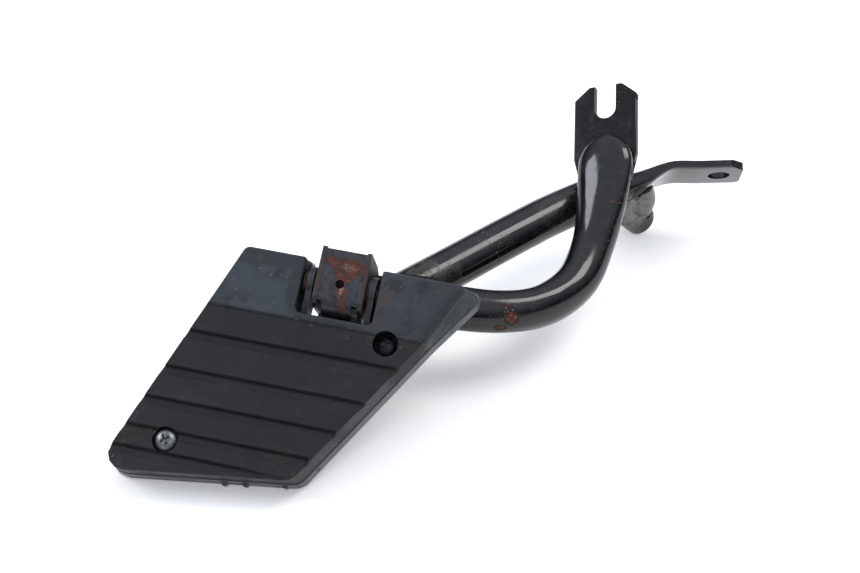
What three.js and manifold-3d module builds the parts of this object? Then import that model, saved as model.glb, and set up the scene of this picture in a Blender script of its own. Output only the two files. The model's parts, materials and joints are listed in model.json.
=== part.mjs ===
// Folding passenger footboard on a welded tubular bracket, millimetres, +Z up.
// Everything is designed in the riding frame: origin at the middle of the pivot pin, +X along
// the pin, +Y towards the vehicle, +Z out of the tread. One group at the end lays it down at rest.
import * as THREE from "three";
import { mergeVertices } from "three/addons/utils/BufferGeometryUtils.js";
import Module from "manifold-3d";

const wasm = await Module();
wasm.setup();

// ---- driving dimensions -------------------------------------------------------------------
const GAP = 0.3;
const SEGMENTS_ROUND = 28;

const TUBE_D = 25.4;
const TUBE_WALL = 2;

const BOARD_TOP = 10;
const TREAD_TOP = 9.2;
const COVER_BOTTOM = -4;
const SEAM = 0.5;
const BOARD_BOTTOM = -13;
const COVER_WALL = 4;
const EDGE_ROUND = 1.2;

// Corners of the tread's top and of its foot at the seam, counter-clockwise: x, y, corner radius.
const TOP = [
  [67.3, 12.3, 3],
  [20.8, 12.3, 1.5],
  [20.8, -18.8, 3],
  [-22, -18.8, 3],
  [-22, 12.3, 1.5],
  [-56.3, 12.3, 4],
  [-108.3, -122, 9],
  [-3, -108.1, 8],
  [51.2, -21.6, 30],
];
const FOOT = [
  [77.6, 12.9, 5],
  [20.4, 12.9, 1.5],
  [20.4, -18.4, 3],
  [-21.6, -18.4, 3],
  [-21.6, 12.9, 1.5],
  [-58.5, 12.9, 5],
  [-110.5, -122.8, 10],
  [-0.6, -108.4, 9],
  [53.6, -21.6, 30],
];
const NOTCH_CORNERS = [2, 3];

const STEP_Y = -22.5;
// Rolled edge of the smooth zone: how far it reaches in from the edge and down the wall, between
// which corners of the outline, and how far its cutting tool stands clear outside and above.
const ROLL = { inwards: 6.5, down: 5.2, from: 8, to: 0, steps: 7, outwards: 16, clear: 4 };
const GROOVE_Y = [-38.1, -59.6, -77.5, -94, -106];
const GROOVE_END_X = [40.5, 27, 14.5, 3.4, -7.5];
const GROOVE_DEPTH = 2.2;
const GROOVE_RUN = 6.8;

const SCREW_OUTER = { x: -74.7, y: -100.1, top: 9.4 };
const SCREW_INNER = { x: 30.3, y: -27, top: 4.2 };
const SCREW_D = 6;
const SCREW_HEAD_D = 11;
const SCREW_HEAD_H = 3.6;
const SCREW_WASHER_T = 1;
const RECESS = { half: 2.9, wide: 1.5, deep: 2.2, turn: 38 };
const COUNTERBORE_D = 14.2;
const SCREW_END = -10.2;
const NUT_AF = 10;
const NUT_T = 4.5;

const PLATE_TOP = -2.5;
const PLATE_T = 3;
const PLATE_INSET = 6;
const EAR_IN = 15.6;
const EAR_T = 3.2;
const EAR_R = 9.5;

const PIN_D = 8;
const PIN_HEAD_D = 13;
const PIN_HEAD_T = 2.4;
const CLIP_D = 12.5;
const CLIP_T = 0.9;
const SLEEVE_D = 13;
const WASHER_D = 16;

const BRACKET_HALF = 13.7;
const BRACKET_T = 2.4;
const WEB_TOP = 12.5;
const WEB_HOLE_D = 5;
const WEB_IN_Y = 18.6;
const WEB_BEND_Y = -7.7;
const LIP_R = 9;
const LIP_END_Z = -5.5;
const LIP_HALF = 8;
const FLANGE_FRONT_Y = -13.5;
const FLANGE_NOSE_Y = -16.4;
const RELIEF_IN = 2.5;
const RELIEF_LEFT_Z = -4;
const RELIEF_RIGHT_Z = 1.5;

const GUSSET_T = 3;
const GUSSET_FALL = 9;
const GUSSET_Z = -20.4;
const GUSSET_HOLE = { x: 46.5, y: 17.5, d: 5 };

const FORK_T = 5;
const FORK_HALF = 20;
const FORK_SLOT_W = 13;
const FORK_SLOT_L = 15.5;
const FORK_TIP = 4;
const FORK_SLOPE = 8;
const FORK_EDGE = 0.8;
const FORK_SHOULDER = 32;
const FORK_TAIL = 48;
const FORK_YAW = 22;
const FORK_TURN = 10;
const FORK_ORIGIN = new THREE.Vector3(121.4, 159.4, -80.4);

const TAB_T = 5;
const TAB_HALF = 17;
const TAB_HOLE_D = 13.5;
const TAB_HOLE = new THREE.Vector3(197.1, 142.6, -111.4);
const TAB_YAW = 12;
const TAB_END = 14;
const TAB_CHAMFER = { top: 8, bottom: 4 };

const BOSS_D = 21;
const BOSS_L = 16.2;
const BOSS_FACE = new THREE.Vector3(146.1, 116.5, -140.4);
const BOSS_AXIS = new THREE.Vector3(-0.589, 0.064, 0.806);
const STRUT_D = 13;

// Resting pose: Euler angles in degrees and the height of the pin above the table.
const REST = { pitch: 35.1, roll: -4.015, yaw: -11.67 };
const REST_PIN = new THREE.Vector3(-58.937, -37.232, 74.742);

// ---- small helpers ------------------------------------------------------------------------
const deg = THREE.MathUtils.degToRad;
const vec = (x, y, z) => new THREE.Vector3(x, y, z);

// A solid from a closed three.js geometry.
function solid(geometry) {
  const bare = geometry.clone();
  bare.deleteAttribute("normal");
  bare.deleteAttribute("uv");
  const merged = mergeVertices(bare, 1e-4);
  const made = new wasm.Manifold(
    new wasm.Mesh({
      numProp: 3,
      vertProperties: new Float32Array(merged.attributes.position.array),
      triVerts: new Uint32Array(merged.index.array),
    }),
  );
  return made;
}

// A three.js geometry from a solid.
function geometryOf(shape) {
  const mesh = shape.getMesh();
  const geometry = new THREE.BufferGeometry();
  geometry.setAttribute("position", new THREE.BufferAttribute(new Float32Array(mesh.vertProperties), 3));
  geometry.setIndex(new THREE.BufferAttribute(new Uint32Array(mesh.triVerts), 1));
  geometry.computeVertexNormals();
  return geometry;
}

const cut = (base, ...tools) => tools.reduce((left, tool) => left.subtract(tool), base);
const join = (...shapes) => shapes.reduce((left, right) => left.add(right));

// The largest body of a solid that a cut has left in pieces.
const main = (shape) => shape.decompose().sort((a, b) => b.volume() - a.volume())[0];

// Skins matching rings of points into one closed geometry, with flat or fanned ends.
function skin(rings, endFaces) {
  const count = rings[0].length;
  const positions = rings.flat().flatMap((p) => [p.x, p.y, p.z]);
  const index = [];
  for (let r = 0; r + 1 < rings.length; r += 1) {
    for (let i = 0; i < count; i += 1) {
      const j = (i + 1) % count;
      const a = r * count + i;
      const b = r * count + j;
      const c = a + count;
      const d = b + count;
      index.push(a, b, d, a, d, c);
    }
  }
  const last = (rings.length - 1) * count;
  for (const [a, b, c] of endFaces) {
    index.push(c, b, a);
    index.push(last + a, last + b, last + c);
  }
  const geometry = new THREE.BufferGeometry();
  geometry.setAttribute("position", new THREE.Float32BufferAttribute(positions, 3));
  geometry.setIndex(index);
  return geometry;
}

// Corner-rounded outline, every edge moved inwards by `inset`; the point count never changes.
function rounded(corners, inset, steps = 4) {
  const points = [];
  const size = corners.length;
  const edge = (i) => {
    const [ax, ay] = corners[(i + size) % size];
    const [bx, by] = corners[(i + 1 + size) % size];
    const length = Math.hypot(bx - ax, by - ay);
    const dx = (bx - ax) / length;
    const dy = (by - ay) / length;
    return { x: ax - dy * inset, y: ay + dx * inset, dx, dy };
  };
  for (let i = 0; i < size; i += 1) {
    const before = edge(i - 1);
    const after = edge(i);
    const cross = before.dx * after.dy - before.dy * after.dx;
    const along = ((after.x - before.x) * after.dy - (after.y - before.y) * after.dx) / cross;
    const x = before.x + before.dx * along;
    const y = before.y + before.dy * along;
    const side = Math.sign(cross);
    const radius = Math.max(0.25, corners[i][2] - side * inset);
    const turn = Math.atan2(cross, before.dx * after.dx + before.dy * after.dy);
    const back = radius * Math.tan(Math.abs(turn) / 2);
    const cx = x - before.dx * back - before.dy * radius * side;
    const cy = y - before.dy * back + before.dx * radius * side;
    const start = Math.atan2(before.dy, before.dx) - (side * Math.PI) / 2;
    for (let k = 0; k <= steps; k += 1) {
      const angle = start + (turn * k) / steps;
      points.push([cx + radius * Math.cos(angle), cy + radius * Math.sin(angle)]);
    }
  }
  return points;
}

// Stack of cornered outlines at levels of [z, corners, inset], skinned into one solid.
function layered(levels, steps = 4) {
  const rings = levels.map(([z, corners, inset]) =>
    rounded(corners, inset, steps).map(([x, y]) => vec(x, y, z)),
  );
  const flat = rings[0].map(({ x, y }) => new THREE.Vector2(x, y));
  return solid(skin(rings, THREE.ShapeUtils.triangulateShape(flat, [])));
}

// Straight prism of a 2-D shape, turned by a matrix.
function prism(shape, depth, matrix, curveSegments = 12) {
  const geometry = new THREE.ExtrudeGeometry(shape, { depth, bevelEnabled: false, curveSegments });
  if (matrix) geometry.applyMatrix4(matrix);
  return solid(geometry);
}

function polygon(points) {
  return new THREE.Shape(points.map(([x, y]) => new THREE.Vector2(x, y)));
}

// Turned solid about the line from `from` along `direction`; profile is [radius, distance] pairs.
function turned(profile, from, direction, segments = SEGMENTS_ROUND) {
  const points = profile.map(([radius, distance]) => new THREE.Vector2(radius, distance));
  const geometry = new THREE.LatheGeometry(points, segments);
  const spin = new THREE.Quaternion().setFromUnitVectors(vec(0, 1, 0), direction.clone().normalize());
  geometry.applyMatrix4(new THREE.Matrix4().compose(from, spin, vec(1, 1, 1)));
  return solid(geometry);
}

function rod(diameter, from, to, segments = SEGMENTS_ROUND) {
  const axis = to.clone().sub(from);
  const radius = diameter / 2;
  return turned([[0, 0], [radius, 0], [radius, axis.length()], [0, axis.length()]], from, axis, segments);
}

const rodX = (diameter, x0, x1, y = 0, z = 0, segments = SEGMENTS_ROUND) =>
  rod(diameter, vec(x0, y, z), vec(x1, y, z), segments);
const rodZ = (diameter, x, y, z0, z1, segments = SEGMENTS_ROUND) =>
  rod(diameter, vec(x, y, z0), vec(x, y, z1), segments);
const ringX = (outer, inner, x0, x1) => cut(rodX(outer, x0, x1), rodX(inner, x0 - 1, x1 + 1));

// Matrix that lays the XY plane of a shape into the YZ plane at x = x0, extruding towards +X.
const sideways = (x0) =>
  new THREE.Matrix4().makeBasis(vec(0, 1, 0), vec(0, 0, 1), vec(1, 0, 0)).setPosition(x0, 0, 0);

const even = (count) => Array.from({ length: count + 1 }, (_, i) => i / count);

// Sweep along a curve; `section(t)` gives half width, half thickness and squareness.
// `flat` is the direction of the thin side, `stations` the places of the rings.
function swept(curve, stations, section, flat, around = 24) {
  const made = [];
  for (const t of stations) {
    const at = curve.getPointAt(t);
    const along = curve.getTangentAt(t);
    const wide = flat.clone().cross(along).normalize();
    const thin = along.clone().cross(wide).normalize();
    const [halfWide, halfThin, square] = section(t);
    const ring = [];
    for (let i = 0; i < around; i += 1) {
      const angle = (2 * Math.PI * i) / around;
      const c = Math.cos(angle);
      const s = Math.sin(angle);
      const u = halfWide * Math.sign(c) * Math.abs(c) ** (2 / square);
      const v = halfThin * Math.sign(s) * Math.abs(s) ** (2 / square);
      ring.push(at.clone().addScaledVector(wide, u).addScaledVector(thin, v));
    }
    made.push(ring);
  }
  const ends = [];
  for (let i = 1; i + 1 < around; i += 1) ends.push([0, i, i + 1]);
  return solid(skin(made, ends));
}

const blend = (t, from, to) => THREE.MathUtils.smoothstep(t, from, to);
const mix = THREE.MathUtils.lerp;

// ---- fork plate frame ---------------------------------------------------------------------
const forkUp = vec(-Math.sin(deg(FORK_YAW)), 0, Math.cos(deg(FORK_YAW)));
const forkSide = vec(Math.cos(deg(FORK_YAW)), 0, Math.sin(deg(FORK_YAW)));
const forkAlong = vec(0, 1, 0).applyAxisAngle(forkUp, deg(FORK_TURN));
forkSide.applyAxisAngle(forkUp, deg(FORK_TURN));
const forkFrame = new THREE.Matrix4().makeBasis(forkSide, forkAlong, forkUp).setPosition(FORK_ORIGIN);

// ---- front tube: under the hinge, round the bend, pressed flat on to the fork plate --------
const frontCurve = new THREE.CatmullRomCurve3(
  [
    vec(-14, 2, -31),
    vec(40, 8, -36.5),
    vec(84, 13.5, -44),
    vec(107, 24, -54),
    vec(123.2, 45.4, -67.5),
    vec(128.5, 70, -73.5),
    vec(129, 94, -71.5),
    vec(127.5, 116, -68.5),
    vec(125.5, 138.5, -69.5),
  ],
  false,
  "centripetal",
);
const FRONT_FLAT = [0.7, 0.93];
const FRONT_TIP = 0.925;
const BEND = { middle: 0.49, half: 0.17, squash: 0.09 };
function frontSection(t) {
  const flatten = blend(t, ...FRONT_FLAT);
  const past = Math.max(0, t - FRONT_TIP) / (1 - FRONT_TIP);
  const tip = Math.sqrt(Math.max(0, 1 - past ** 2));
  const oval = 1 - BEND.squash * Math.max(0, 1 - Math.abs(t - BEND.middle) / BEND.half);
  const halfWide = mix(TUBE_D / 2, 17, flatten) * oval;
  const halfThin = mix(TUBE_D / 2, 7.5, flatten) / oval;
  return [Math.max(0.4, halfWide * tip), Math.max(0.4, halfThin * mix(0.35, 1, tip)), mix(2, 2.3, flatten)];
}
const frontStations = [
  ...even(44).map((u) => u * FRONT_TIP),
  ...[0.2, 0.4, 0.57, 0.71, 0.82, 0.9, 0.96, 0.99, 1].map((u) => mix(FRONT_TIP, 1, u)),
];
const frontOuter = swept(frontCurve, frontStations, frontSection, forkUp);
const frontPath = (limit) => new THREE.CatmullRomCurve3(
  Array.from({ length: 24 }, (_, i) => frontCurve.getPointAt((limit * i) / 23)),
);
const boreSection = () => [TUBE_D / 2 - TUBE_WALL, TUBE_D / 2 - TUBE_WALL, 2];
const clearSection = () => [TUBE_D / 2 + GAP, TUBE_D / 2 + GAP, 2];
const frontBore = swept(frontPath(0.64), even(30), boreSection, forkUp, 20);
const frontClear = swept(frontPath(0.6), even(26), clearSection, forkUp);
const boreMouth = rod(TUBE_D - 2 * TUBE_WALL, vec(-20, 1.33, -30.4), vec(-10, 2.45, -31.4), 20);

// ---- fork plate ---------------------------------------------------------------------------
function forkShape() {
  const shape = new THREE.Shape();
  const slot = FORK_SLOT_W / 2;
  const prong = FORK_SLOT_L;
  shape.moveTo(-slot, prong);
  shape.lineTo(-slot - FORK_TIP, prong);
  shape.lineTo(-FORK_HALF, prong - FORK_SLOPE);
  shape.lineTo(-FORK_HALF, -FORK_SHOULDER);
  shape.lineTo(-FORK_HALF + 4, -FORK_TAIL);
  shape.quadraticCurveTo(0, -FORK_TAIL - 10, FORK_HALF - 4, -FORK_TAIL);
  shape.lineTo(FORK_HALF, -FORK_SHOULDER);
  shape.lineTo(FORK_HALF, prong - FORK_SLOPE);
  shape.lineTo(slot + FORK_TIP, prong);
  shape.lineTo(slot, prong);
  shape.lineTo(slot, 0);
  shape.absarc(0, 0, slot, 0, Math.PI, true);
  shape.closePath();
  return shape;
}
const forkBody = new THREE.ExtrudeGeometry(forkShape(), {
  depth: FORK_T - 2 * FORK_EDGE,
  bevelThickness: FORK_EDGE,
  bevelSize: FORK_EDGE,
  bevelOffset: -FORK_EDGE,
  bevelSegments: 2,
  curveSegments: 12,
});
forkBody.translate(0, 0, FORK_EDGE - FORK_T / 2);
forkBody.applyMatrix4(forkFrame);
const forkPlate = solid(forkBody);
const forkKeepOut = prism(
  polygon([[-60, -60], [60, -60], [60, 60], [-60, 60]]),
  40,
  forkFrame.clone().multiply(new THREE.Matrix4().makeTranslation(0, 0, FORK_T / 2 + GAP - 40)),
);
const frontTube = cut(frontOuter, frontBore, boreMouth, forkKeepOut);

// ---- rear tube: from the front tube to the flattened tab -----------------------------------
const tabNormal = vec(Math.sin(deg(TAB_YAW)), -Math.cos(deg(TAB_YAW)), 0);
const tabAlong = vec(Math.cos(deg(TAB_YAW)), Math.sin(deg(TAB_YAW)), 0);
const tabEnd = TAB_HOLE.clone().addScaledVector(tabAlong, TAB_END);
const rearCurve = new THREE.CatmullRomCurve3(
  [
    vec(19, 4, -34.8),
    vec(49.5, 36.4, -56),
    vec(79.7, 68.6, -76.5),
    vec(99.8, 89, -89.5),
    vec(126, 110.5, -101.5),
    vec(145, 121.5, -107.5),
    TAB_HOLE.clone().addScaledVector(tabAlong, -32),
    TAB_HOLE.clone().addScaledVector(tabAlong, -12),
    tabEnd,
  ],
  false,
  "centripetal",
);
const REAR_FLAT_FROM = 0.62;
const REAR_FLAT_TO = 0.84;
function rearSection(t) {
  const flatten = blend(t, REAR_FLAT_FROM, REAR_FLAT_TO);
  return [
    mix(TUBE_D / 2, TAB_HALF, flatten),
    mix(TUBE_D / 2, TAB_T / 2, flatten ** 0.8),
    mix(2, 9, flatten ** 3),
  ];
}
const rearOuter = swept(rearCurve, even(60), rearSection, tabNormal);
const rearPath = new THREE.CatmullRomCurve3(
  Array.from({ length: 20 }, (_, i) => rearCurve.getPointAt((REAR_FLAT_FROM * i) / 19)),
);
const rearBore = swept(rearPath, even(26), boreSection, tabNormal, 20);
const tabFrame = new THREE.Matrix4()
  .makeBasis(tabAlong, vec(0, 0, 1), tabNormal)
  .setPosition(TAB_HOLE);
const tabCorner = (side, chamfer) => prism(
  polygon([
    [TAB_END + 5, side * (TAB_HALF + 5)],
    [TAB_END - chamfer - 5, side * (TAB_HALF + 5)],
    [TAB_END + 5, side * (TAB_HALF - chamfer - 5)],
  ]),
  30,
  tabFrame.clone().multiply(new THREE.Matrix4().makeTranslation(0, 0, -15)),
);
const tabHole = rod(
  TAB_HOLE_D,
  TAB_HOLE.clone().addScaledVector(tabNormal, -15),
  TAB_HOLE.clone().addScaledVector(tabNormal, 15),
);
const rearTube = cut(
  rearOuter,
  rearBore,
  frontClear,
  tabHole,
  tabCorner(1, TAB_CHAMFER.top),
  tabCorner(-1, TAB_CHAMFER.bottom),
);

// ---- lug under the rear tube ---------------------------------------------------------------
const bossAxis = BOSS_AXIS.clone().normalize();
const bossBack = BOSS_FACE.clone().addScaledVector(bossAxis, -BOSS_L);
const lugBoss = turned(
  [
    [0, 0],
    [BOSS_D / 2 - 1, 0],
    [BOSS_D / 2, 1],
    [BOSS_D / 2, BOSS_L - 0.8],
    [BOSS_D / 2 - 0.8, BOSS_L],
    [0, BOSS_L],
  ],
  bossBack,
  bossAxis,
);
const bossClear = rod(
  BOSS_D + 2 * GAP,
  bossBack.clone().addScaledVector(bossAxis, -GAP),
  BOSS_FACE.clone().addScaledVector(bossAxis, GAP),
);
const strutCurve = new THREE.CatmullRomCurve3([
  vec(152, 125, -112),
  vec(155.5, 121.5, -127),
  vec(154.5, 118.5, -139),
  bossBack.clone().addScaledVector(bossAxis, 4),
]);
const rearClear = swept(rearCurve, even(60), (t) => {
  const [wide, thin, square] = rearSection(t);
  return [wide + GAP, thin + GAP, square];
}, tabNormal);
const strutBlank = swept(strutCurve, even(14), () => [STRUT_D / 2, STRUT_D / 2, 2], vec(1, 0, 0), 18);
const lugStrut = main(cut(strutBlank, rearClear, bossClear));

// ---- hinge bracket: pressed channel, open downwards, saddled on the front tube ---------------
const flangeShape = (frontY) =>
  polygon([
    [19.4, 13],
    [WEB_BEND_Y - 1, 13],
    [-12.2, 10.5],
    [FLANGE_FRONT_Y, 6],
    [frontY, 3],
    [frontY, -6],
    [FLANGE_FRONT_Y, -10],
    [-11.5, -32],
    [15, -32],
    [19.4, -16],
  ]);
const inner = BRACKET_HALF - BRACKET_T;
const flange = (x0, frontY) => prism(flangeShape(frontY), BRACKET_T, sideways(x0));
const webProfile = new THREE.Shape();
webProfile.moveTo(WEB_IN_Y, WEB_TOP);
webProfile.lineTo(WEB_BEND_Y, WEB_TOP);
webProfile.absarc(WEB_BEND_Y, WEB_TOP - LIP_R, LIP_R, Math.PI / 2, Math.PI, false);
webProfile.lineTo(WEB_BEND_Y - LIP_R, LIP_END_Z);
webProfile.lineTo(WEB_BEND_Y - LIP_R + BRACKET_T, LIP_END_Z);
webProfile.absarc(WEB_BEND_Y, WEB_TOP - LIP_R, LIP_R - BRACKET_T, Math.PI, Math.PI / 2, true);
webProfile.lineTo(WEB_IN_Y, WEB_TOP - BRACKET_T);
webProfile.closePath();
const web = prism(webProfile, 2 * inner + 0.2, sideways(-inner - 0.1), 8);
// Relief slot beside the lip, open down to the height `low`.
const relief = (x0, x1, low) => {
  const back = WEB_BEND_Y - RELIEF_IN;
  return prism(polygon([[-30, low], [-30, 30], [back, 30], [back, low]]), x1 - x0, sideways(x0));
};
const webCut = cut(
  web,
  relief(-inner - 1, -LIP_HALF, RELIEF_LEFT_Z),
  relief(LIP_HALF, inner + 1, RELIEF_RIGHT_Z),
);
const saddle = swept(frontPath(0.35), even(14), clearSection, forkUp, 32);
const saddleMouth = rod(TUBE_D + 2 * GAP, vec(-24, 0.9, -30), vec(-13, 2.1, -31.1), 32);
const hingeBracket = cut(
  join(flange(-BRACKET_HALF, FLANGE_FRONT_Y), flange(inner, FLANGE_NOSE_Y), webCut),
  rodX(PIN_D + 2 * GAP, -30, 30),
  rodZ(WEB_HOLE_D, -0.4, -0.2, 5, 20, 20),
  saddle,
  saddleMouth,
);

// ---- gusset: flat plate over the crotch of the tubes, against the bracket's right flange ------
const gussetFrame = new THREE.Matrix4()
  .makeRotationY(deg(GUSSET_FALL))
  .setPosition(BRACKET_HALF + GAP, 0, GUSSET_Z);
const gusset = cut(
  prism(
    polygon([[0, 3], [38, 7], [42, 14], [36, 21.5], [12, 19.5], [0, 15]]),
    GUSSET_T,
    gussetFrame,
  ),
  rodZ(GUSSET_HOLE.d, GUSSET_HOLE.x, GUSSET_HOLE.y, -40, 0, 16),
  frontClear,
  rearClear,
);

// ---- pin, sleeve and washers ---------------------------------------------------------------
const earOut = EAR_IN + EAR_T;
const pinEnd = earOut + GAP + CLIP_T + 0.6;
const pivotPin = cut(
  join(rodX(PIN_D, -earOut - 1, pinEnd), rodX(PIN_HEAD_D, -earOut - GAP - PIN_HEAD_T, -earOut - GAP)),
  cut(rodX(PIN_D + 2, earOut + GAP - 0.1, earOut + GAP + CLIP_T + 0.1), rodX(PIN_D - 1.6, 0, 30)),
);
const pinClip = cut(
  ringX(CLIP_D, PIN_D - 1, earOut + GAP, earOut + GAP + CLIP_T),
  prism(polygon([[-3, 0], [-3, -10], [3, -10], [3, 0]]), 4, sideways(earOut - 1)),
);
const pivotSleeve = ringX(SLEEVE_D, PIN_D + 2 * GAP, -inner + GAP, inner - GAP);
const thrust = (x0, x1) => ringX(WASHER_D, PIN_D + 2 * GAP, x0, x1);

// ---- footboard core plate with its two ears ---------------------------------------------------
const NOTCH_CLEAR = 1.4;
const plateOutline = FOOT.map(([x, y, r], i) => {
  const nx = i === 1 || i === 2 ? x - NOTCH_CLEAR : x + NOTCH_CLEAR;
  if (i === 1 || i === 4) return [nx, y, r];
  if (NOTCH_CORNERS.includes(i)) return [nx, y + NOTCH_CLEAR, r - NOTCH_CLEAR];
  return [x, y, r];
});
const corePlateBlank = layered([
  [PLATE_TOP - PLATE_T, plateOutline, PLATE_INSET],
  [PLATE_TOP, plateOutline, PLATE_INSET],
]);
const earShape = () => {
  const shape = new THREE.Shape();
  shape.moveTo(-34, PLATE_TOP - PLATE_T);
  shape.lineTo(-8, PLATE_TOP - PLATE_T - 2.5);
  shape.absarc(0, 0, EAR_R, -Math.PI * 0.7, Math.PI * 0.7, false);
  shape.lineTo(-16, 6);
  shape.lineTo(-34, PLATE_TOP);
  shape.closePath();
  return shape;
};
const ear = (x0) => prism(earShape(), EAR_T, sideways(x0), 16);
const screwHoles = [SCREW_OUTER, SCREW_INNER].map(({ x, y }) => rodZ(SCREW_D + 2 * GAP, x, y, -12, 8));
const corePlate = cut(
  join(corePlateBlank, ear(EAR_IN), ear(-EAR_IN - EAR_T)),
  rodX(PIN_D + 2 * GAP, -30, 30),
  ...screwHoles,
);

// ---- tread cover ---------------------------------------------------------------------------
const coverBlank = layered([
  [COVER_BOTTOM, FOOT, 0],
  [BOARD_TOP - EDGE_ROUND, TOP, 0],
  [BOARD_TOP - EDGE_ROUND * 0.5, TOP, EDGE_ROUND * 0.15],
  [BOARD_TOP - EDGE_ROUND * 0.15, TOP, EDGE_ROUND * 0.5],
  [BOARD_TOP, TOP, EDGE_ROUND],
]);
const coverHollow = layered([
  [COVER_BOTTOM - 1, FOOT, COVER_WALL],
  [PLATE_TOP + GAP, FOOT, COVER_WALL + 0.3],
]);
const sideCut = (profile, x0, x1) => prism(polygon(profile), x1 - x0, sideways(x0));
const levelCut = sideCut(
  [[STEP_Y, 14], [STEP_Y, BOARD_TOP + 0.01], [STEP_Y - 1.6, TREAD_TOP], [-140, TREAD_TOP], [-140, 14]],
  -130,
  100,
);
const grooveCuts = GROOVE_Y.map((y, i) => {
  const floor = TREAD_TOP - GROOVE_DEPTH;
  const profile = [
    [y, TREAD_TOP + 1],
    [y, TREAD_TOP],
    [y - 0.5, TREAD_TOP - 0.4],
    [y - 1.6, floor + 0.35],
    [y - 2.3, floor],
    [y - 3.4, floor + 0.15],
    [y - 5, floor + 0.85],
    [y - GROOVE_RUN, TREAD_TOP],
    [y - GROOVE_RUN, TREAD_TOP + 1],
  ];
  return sideCut(profile, -130, GROOVE_END_X[i]);
});
const earSlots = [-1, 1].map((side) => {
  const x0 = side > 0 ? EAR_IN - GAP : -earOut - GAP;
  const profile = [[-37, -14], [20, -14], [20, 11], [-17, 11], [-20, 7.5], [-37, -1]];
  return prism(polygon(profile), EAR_T + 2 * GAP, sideways(x0));
});
const counterbores = [SCREW_OUTER, SCREW_INNER].map(({ x, y, top }) =>
  rodZ(COUNTERBORE_D, x, y, top - SCREW_HEAD_H - SCREW_WASHER_T - 2 * GAP, 20),
);
// Tool that rolls the smooth zone's right edge over into the drafted wall.
function rollCutter() {
  const [fx, fy] = TOP[ROLL.from];
  const [tx, ty] = TOP[ROLL.to];
  const length = Math.hypot(tx - fx, ty - fy);
  const out = vec((ty - fy) / length, -(tx - fx) / length, 0);
  const start = (STEP_Y - fy) / (ty - fy);
  const ring = (share) => {
    const at = vec(mix(fx, tx, share), mix(fy, ty, share), 0);
    const footX = mix(FOOT[ROLL.from][0], FOOT[ROLL.to][0], share);
    const footY = mix(FOOT[ROLL.from][1], FOOT[ROLL.to][1], share);
    const edgeZ = BOARD_TOP - EDGE_ROUND;
    const draft = vec(footX - at.x, footY - at.y, 0).dot(out) / (edgeZ - COVER_BOTTOM);
    const corner = [-draft * EDGE_ROUND, BOARD_TOP];
    const low = [draft * (edgeZ - BOARD_TOP + ROLL.down), BOARD_TOP - ROLL.down];
    const arc = even(ROLL.steps).map((u) => [
      (1 - u) ** 2 * -ROLL.inwards + 2 * u * (1 - u) * corner[0] + u ** 2 * low[0],
      (1 - u) ** 2 * BOARD_TOP + 2 * u * (1 - u) * corner[1] + u ** 2 * low[1],
    ]);
    const over = BOARD_TOP + ROLL.clear;
    const profile = [
      [-ROLL.inwards, over],
      ...arc,
      [ROLL.outwards, BOARD_TOP - ROLL.down],
      [ROLL.outwards, over],
    ];
    return profile.reverse().map(([across, z]) => at.clone().addScaledVector(out, across).setZ(z));
  };
  const rings = [start, 0.5, 1, 1.35].map(ring);
  const flat = rings[0].map((p) => new THREE.Vector2(-p.x * out.x - p.y * out.y, p.z));
  const faces = THREE.ShapeUtils.triangulateShape(flat, []);
  return solid(skin(rings, faces));
}
const pinRecess = rodX(PIN_HEAD_D + 1, -22.6, 21.6);
const treadCover = cut(
  coverBlank,
  coverHollow,
  levelCut,
  rollCutter(),
  ...grooveCuts,
  ...earSlots,
  ...counterbores,
  ...screwHoles,
  pinRecess,
);

// ---- base tray -----------------------------------------------------------------------------
const TRAY_TOP = COVER_BOTTOM - SEAM;
const trayBlank = layered([
  [BOARD_BOTTOM, FOOT, -0.8],
  [BOARD_BOTTOM + 0.5, FOOT, -1.3],
  [BOARD_BOTTOM + 1.4, FOOT, -1.7],
  [TRAY_TOP, FOOT, -0.5],
]);
const trayHollow = layered([
  [BOARD_BOTTOM + 2.3, FOOT, 2.6],
  [TRAY_TOP + 1, FOOT, 2.6],
]);
const CLIP_SPOT_D = 3.6;
// Places of the clip nubs and how far their ends stand above the tray's bottom; one is a foot.
const CLIP_SPOTS = [[-41.7, -115, 1.1], [-30.3, -113.4, 0.9], [-8.8, -110, -0.5], [6, -97.6, 1]];
const trayClips = CLIP_SPOTS.map(([x, y, lift]) =>
  rodZ(CLIP_SPOT_D, x, y, BOARD_BOTTOM + lift, BOARD_BOTTOM + 5, 12),
);
const baseTray = cut(join(trayBlank, ...trayClips), trayHollow, ...earSlots, pinRecess);

// ---- cover screws ----------------------------------------------------------------------------
function screw({ x, y, top }) {
  const seat = top - SCREW_HEAD_H;
  const radius = SCREW_HEAD_D / 2;
  const body = turned(
    [
      [0, SCREW_END],
      [SCREW_D / 2 - 0.6, SCREW_END],
      [SCREW_D / 2, SCREW_END + 0.6],
      [SCREW_D / 2, seat],
      [radius, seat],
      [radius, seat + 1.6],
      [radius - 0.7, seat + 2.6],
      [radius - 2.2, seat + 3.3],
      [0, top],
    ],
    vec(x, y, 0),
    vec(0, 0, 1),
  );
  const { half, wide, deep } = RECESS;
  const outline = [[-half, -wide / 2], [half, -wide / 2], [half, wide / 2], [-half, wide / 2]];
  const arm = (turn) => {
    const frame = new THREE.Matrix4().makeRotationZ(deg(turn)).setPosition(x, y, top - deep);
    return prism(polygon(outline), 2 * deep, frame);
  };
  return cut(body, arm(RECESS.turn), arm(RECESS.turn + 90));
}
const screwWasher = ({ x, y, top }) => {
  const z1 = top - SCREW_HEAD_H - GAP;
  return cut(rodZ(12.6, x, y, z1 - SCREW_WASHER_T, z1), rodZ(SCREW_D + 2 * GAP, x, y, -12, 12));
};
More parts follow.
